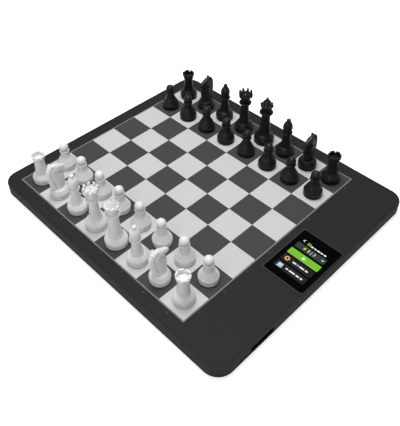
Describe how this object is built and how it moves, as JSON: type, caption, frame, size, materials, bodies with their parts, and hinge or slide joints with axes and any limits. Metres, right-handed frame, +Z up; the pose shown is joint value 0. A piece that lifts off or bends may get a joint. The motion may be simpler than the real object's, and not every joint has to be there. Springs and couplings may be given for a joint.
{
  "type": "electronic chess computer",
  "caption": "Low board with inlaid, lit squares, a side console with a display, a power button and charging port in the side wall, and a full set of turned pieces.",
  "frame": {"origin": "centre of the footprint, on the surface that the feet stand on", "axes": "+X from the playing field towards the console, +Y from white's side to black's side, +Z up"},
  "size_m": [0.4154, 0.3626, 0.096],
  "materials": {
    "shell": "fine satin texture, almost black",
    "plate": "fine satin texture, almost black",
    "dark_square": "matte, dark grey",
    "light_square": "matte, light grey, lets light through",
    "line": "matte, mid grey",
    "white_plastic": "moulded, white",
    "circuit_board": "green solder mask",
    "lamp": "small white lamps",
    "chip": "moulded, black",
    "battery_film": "shrink film",
    "lead": "soft insulation",
    "screen_glass": "black glass over a colour display, modelled opaque",
    "black_gloss": "glossy black frame",
    "black_rubber": "soft, black",
    "flex": "amber film",
    "steel": "plain",
    "black_plastic": "fine texture, black",
    "ribbon": "flat grey ribbon",
    "ivory_piece": "satin white, weighted",
    "ebony_piece": "satin black, weighted"
  },
  "bodies": {
    "board": {"top_housing": "shell", "bottom_cover": "shell", "top_plate": "plate", "dark_squares": "dark_square", "light_squares": "light_square", "border_line": "line", "light_grid": "white_plastic", "sensor_board": "circuit_board", "square_leds": "lamp", "main_board": "circuit_board", "main_chips": "chip", "battery_pack": "battery_film", "battery_lead": "lead", "display_glass": "screen_glass", "display_bezel": "black_gloss", "display_module": "chip", "display_gasket": "black_rubber", "display_flex": "flex", "charge_socket": "steel", "button_switch": "steel", "port_insert": "black_plastic", "speaker": "chip", "sensor_ribbon": "ribbon", "housing_screws": "steel", "board_screws": "steel", "rubber_feet": "black_rubber"},
    "power_button": {"power_button": "black_plastic"},
    "white_rook_a1_body": {"white_rook_a1": "ivory_piece"},
    "white_knight_b1_body": {"white_knight_b1": "ivory_piece"},
    "white_bishop_c1_body": {"white_bishop_c1": "ivory_piece"},
    "white_queen_d1_body": {"white_queen_d1": "ivory_piece"},
    "white_king_e1_body": {"white_king_e1": "ivory_piece"},
    "white_bishop_f1_body": {"white_bishop_f1": "ivory_piece"},
    "white_knight_g1_body": {"white_knight_g1": "ivory_piece"},
    "white_rook_h1_body": {"white_rook_h1": "ivory_piece"},
    "white_pawn_a2_body": {"white_pawn_a2": "ivory_piece"},
    "white_pawn_b2_body": {"white_pawn_b2": "ivory_piece"},
    "white_pawn_c2_body": {"white_pawn_c2": "ivory_piece"},
    "white_pawn_d2_body": {"white_pawn_d2": "ivory_piece"},
    "white_pawn_e2_body": {"white_pawn_e2": "ivory_piece"},
    "white_pawn_f2_body": {"white_pawn_f2": "ivory_piece"},
    "white_pawn_g2_body": {"white_pawn_g2": "ivory_piece"},
    "white_pawn_h2_body": {"white_pawn_h2": "ivory_piece"},
    "black_rook_a8_body": {"black_rook_a8": "ebony_piece"},
    "black_knight_b8_body": {"black_knight_b8": "ebony_piece"},
    "black_bishop_c8_body": {"black_bishop_c8": "ebony_piece"},
    "black_queen_d8_body": {"black_queen_d8": "ebony_piece"},
    "black_king_e8_body": {"black_king_e8": "ebony_piece"},
    "black_bishop_f8_body": {"black_bishop_f8": "ebony_piece"},
    "black_knight_g8_body": {"black_knight_g8": "ebony_piece"},
    "black_rook_h8_body": {"black_rook_h8": "ebony_piece"},
    "black_pawn_a7_body": {"black_pawn_a7": "ebony_piece"},
    "black_pawn_b7_body": {"black_pawn_b7": "ebony_piece"},
    "black_pawn_c7_body": {"black_pawn_c7": "ebony_piece"},
    "black_pawn_d7_body": {"black_pawn_d7": "ebony_piece"},
    "black_pawn_e7_body": {"black_pawn_e7": "ebony_piece"},
    "black_pawn_f7_body": {"black_pawn_f7": "ebony_piece"},
    "black_pawn_g7_body": {"black_pawn_g7": "ebony_piece"},
    "black_pawn_h7_body": {"black_pawn_h7": "ebony_piece"}
  },
  "joints": [
    {"name": "power_button_press", "type": "slide", "parent": "board", "child": "power_button", "axis": [-1, 0, 0], "range_m": [0, 0.0008], "stiffness_N_per_m": 900, "springref_m": -0.0005},
    {"name": "lift_white_rook_a1", "type": "slide", "parent": "board", "child": "white_rook_a1_body", "axis": [0, 0, 1], "range_m": [0, 0.1]},
    {"name": "lift_white_knight_b1", "type": "slide", "parent": "board", "child": "white_knight_b1_body", "axis": [0, 0, 1], "range_m": [0, 0.1]},
    {"name": "lift_white_bishop_c1", "type": "slide", "parent": "board", "child": "white_bishop_c1_body", "axis": [0, 0, 1], "range_m": [0, 0.1]},
    {"name": "lift_white_queen_d1", "type": "slide", "parent": "board", "child": "white_queen_d1_body", "axis": [0, 0, 1], "range_m": [0, 0.1]},
    {"name": "lift_white_king_e1", "type": "slide", "parent": "board", "child": "white_king_e1_body", "axis": [0, 0, 1], "range_m": [0, 0.1]},
    {"name": "lift_white_bishop_f1", "type": "slide", "parent": "board", "child": "white_bishop_f1_body", "axis": [0, 0, 1], "range_m": [0, 0.1]},
    {"name": "lift_white_knight_g1", "type": "slide", "parent": "board", "child": "white_knight_g1_body", "axis": [0, 0, 1], "range_m": [0, 0.1]},
    {"name": "lift_white_rook_h1", "type": "slide", "parent": "board", "child": "white_rook_h1_body", "axis": [0, 0, 1], "range_m": [0, 0.1]},
    {"name": "lift_white_pawn_a2", "type": "slide", "parent": "board", "child": "white_pawn_a2_body", "axis": [0, 0, 1], "range_m": [0, 0.1]},
    {"name": "lift_white_pawn_b2", "type": "slide", "parent": "board", "child": "white_pawn_b2_body", "axis": [0, 0, 1], "range_m": [0, 0.1]},
    {"name": "lift_white_pawn_c2", "type": "slide", "parent": "board", "child": "white_pawn_c2_body", "axis": [0, 0, 1], "range_m": [0, 0.1]},
    {"name": "lift_white_pawn_d2", "type": "slide", "parent": "board", "child": "white_pawn_d2_body", "axis": [0, 0, 1], "range_m": [0, 0.1]},
    {"name": "lift_white_pawn_e2", "type": "slide", "parent": "board", "child": "white_pawn_e2_body", "axis": [0, 0, 1], "range_m": [0, 0.1]},
    {"name": "lift_white_pawn_f2", "type": "slide", "parent": "board", "child": "white_pawn_f2_body", "axis": [0, 0, 1], "range_m": [0, 0.1]},
    {"name": "lift_white_pawn_g2", "type": "slide", "parent": "board", "child": "white_pawn_g2_body", "axis": [0, 0, 1], "range_m": [0, 0.1]},
    {"name": "lift_white_pawn_h2", "type": "slide", "parent": "board", "child": "white_pawn_h2_body", "axis": [0, 0, 1], "range_m": [0, 0.1]},
    {"name": "lift_black_rook_a8", "type": "slide", "parent": "board", "child": "black_rook_a8_body", "axis": [0, 0, 1], "range_m": [0, 0.1]},
    {"name": "lift_black_knight_b8", "type": "slide", "parent": "board", "child": "black_knight_b8_body", "axis": [0, 0, 1], "range_m": [0, 0.1]},
    {"name": "lift_black_bishop_c8", "type": "slide", "parent": "board", "child": "black_bishop_c8_body", "axis": [0, 0, 1], "range_m": [0, 0.1]},
    {"name": "lift_black_queen_d8", "type": "slide", "parent": "board", "child": "black_queen_d8_body", "axis": [0, 0, 1], "range_m": [0, 0.1]},
    {"name": "lift_black_king_e8", "type": "slide", "parent": "board", "child": "black_king_e8_body", "axis": [0, 0, 1], "range_m": [0, 0.1]},
    {"name": "lift_black_bishop_f8", "type": "slide", "parent": "board", "child": "black_bishop_f8_body", "axis": [0, 0, 1], "range_m": [0, 0.1]},
    {"name": "lift_black_knight_g8", "type": "slide", "parent": "board", "child": "black_knight_g8_body", "axis": [0, 0, 1], "range_m": [0, 0.1]},
    {"name": "lift_black_rook_h8", "type": "slide", "parent": "board", "child": "black_rook_h8_body", "axis": [0, 0, 1], "range_m": [0, 0.1]},
    {"name": "lift_black_pawn_a7", "type": "slide", "parent": "board", "child": "black_pawn_a7_body", "axis": [0, 0, 1], "range_m": [0, 0.1]},
    {"name": "lift_black_pawn_b7", "type": "slide", "parent": "board", "child": "black_pawn_b7_body", "axis": [0, 0, 1], "range_m": [0, 0.1]},
    {"name": "lift_black_pawn_c7", "type": "slide", "parent": "board", "child": "black_pawn_c7_body", "axis": [0, 0, 1], "range_m": [0, 0.1]},
    {"name": "lift_black_pawn_d7", "type": "slide", "parent": "board", "child": "black_pawn_d7_body", "axis": [0, 0, 1], "range_m": [0, 0.1]},
    {"name": "lift_black_pawn_e7", "type": "slide", "parent": "board", "child": "black_pawn_e7_body", "axis": [0, 0, 1], "range_m": [0, 0.1]},
    {"name": "lift_black_pawn_f7", "type": "slide", "parent": "board", "child": "black_pawn_f7_body", "axis": [0, 0, 1], "range_m": [0, 0.1]},
    {"name": "lift_black_pawn_g7", "type": "slide", "parent": "board", "child": "black_pawn_g7_body", "axis": [0, 0, 1], "range_m": [0, 0.1]},
    {"name": "lift_black_pawn_h7", "type": "slide", "parent": "board", "child": "black_pawn_h7_body", "axis": [0, 0, 1], "range_m": [0, 0.1]}
  ]
}
